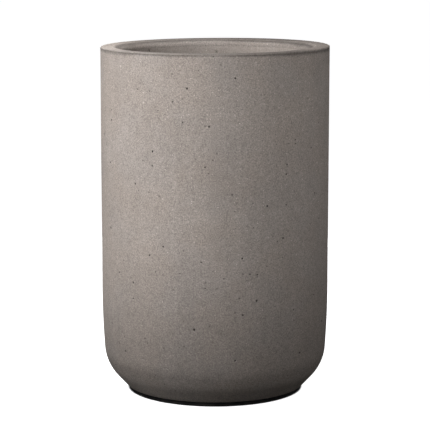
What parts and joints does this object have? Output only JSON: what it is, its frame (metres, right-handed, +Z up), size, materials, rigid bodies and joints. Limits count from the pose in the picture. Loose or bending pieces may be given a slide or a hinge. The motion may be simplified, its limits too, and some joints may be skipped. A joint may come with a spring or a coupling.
{
  "type": "street planter",
  "caption": "Tall round precast concrete street planter with an eased rim, rounded heel, black recessed plinth, drained floor and levelling feet.",
  "frame": {"origin": "on the ground at the planter's axis", "axes": "+Z up along the planter's axis; the pictured side faces -Y"},
  "size_m": [0.6, 0.5998, 0.912],
  "materials": {
    "concrete": "matte",
    "reinforcement_wire": "matte",
    "zinc_steel": "satin",
    "plinth_black": "satin",
    "rubber": "matte",
    "grey_plastic": "matte",
    "black_plastic": "satin",
    "pad_nylon": "matte"
  },
  "bodies": {
    "planter": {"planter_shell": "concrete", "reinforcement_hoops": "reinforcement_wire", "reinforcement_uprights": "reinforcement_wire", "lifting_sockets": "zinc_steel", "plinth_sockets": "zinc_steel", "plinth_skirt": "plinth_black", "plinth_plate": "plinth_black", "plinth_gasket": "rubber", "plinth_washers": "zinc_steel", "plinth_bolts": "zinc_steel", "levelling_nuts": "zinc_steel", "drain_sleeve": "grey_plastic"},
    "strainer": {"drain_strainer": "black_plastic"},
    "foot_pad_1": {"levelling_pad_1": "pad_nylon"},
    "foot_stud_1": {"levelling_stud_1": "zinc_steel", "levelling_clip_1": "zinc_steel"},
    "foot_pad_2": {"levelling_pad_2": "pad_nylon"},
    "foot_stud_2": {"levelling_stud_2": "zinc_steel", "levelling_clip_2": "zinc_steel"},
    "foot_pad_3": {"levelling_pad_3": "pad_nylon"},
    "foot_stud_3": {"levelling_stud_3": "zinc_steel", "levelling_clip_3": "zinc_steel"},
    "foot_pad_4": {"levelling_pad_4": "pad_nylon"},
    "foot_stud_4": {"levelling_stud_4": "zinc_steel", "levelling_clip_4": "zinc_steel"}
  },
  "joints": [
    {"name": "strainer_lift", "type": "slide", "parent": "planter", "child": "strainer", "axis": [0, 0, 1], "range_m": [0, 0.06]},
    {"name": "foot_travel_1", "type": "slide", "parent": "planter", "child": "foot_pad_1", "axis": [0, 0, -1], "range_m": [0, 0.015]},
    {"name": "stud_turn_1", "type": "hinge", "parent": "foot_pad_1", "child": "foot_stud_1", "pos_m": [0.13435, 0.13435, 0.03], "axis": [0, 0, -1], "range_deg": [0, 3090]},
    {"name": "foot_travel_2", "type": "slide", "parent": "planter", "child": "foot_pad_2", "axis": [0, 0, -1], "range_m": [0, 0.015]},
    {"name": "stud_turn_2", "type": "hinge", "parent": "foot_pad_2", "child": "foot_stud_2", "pos_m": [-0.13435, 0.13435, 0.03], "axis": [0, 0, -1], "range_deg": [0, 3090]},
    {"name": "foot_travel_3", "type": "slide", "parent": "planter", "child": "foot_pad_3", "axis": [0, 0, -1], "range_m": [0, 0.015]},
    {"name": "stud_turn_3", "type": "hinge", "parent": "foot_pad_3", "child": "foot_stud_3", "pos_m": [-0.13435, -0.13435, 0.03], "axis": [0, 0, -1], "range_deg": [0, 3090]},
    {"name": "foot_travel_4", "type": "slide", "parent": "planter", "child": "foot_pad_4", "axis": [0, 0, -1], "range_m": [0, 0.015]},
    {"name": "stud_turn_4", "type": "hinge", "parent": "foot_pad_4", "child": "foot_stud_4", "pos_m": [0.13435, -0.13435, 0.03], "axis": [0, 0, -1], "range_deg": [0, 3090]}
  ],
  "couplings": [
    {"joint": "stud_turn_1", "follows": "foot_travel_1", "rad_per_m": 3590.4},
    {"joint": "stud_turn_2", "follows": "foot_travel_2", "rad_per_m": 3590.4},
    {"joint": "stud_turn_3", "follows": "foot_travel_3", "rad_per_m": 3590.4},
    {"joint": "stud_turn_4", "follows": "foot_travel_4", "rad_per_m": 3590.4}
  ]
}
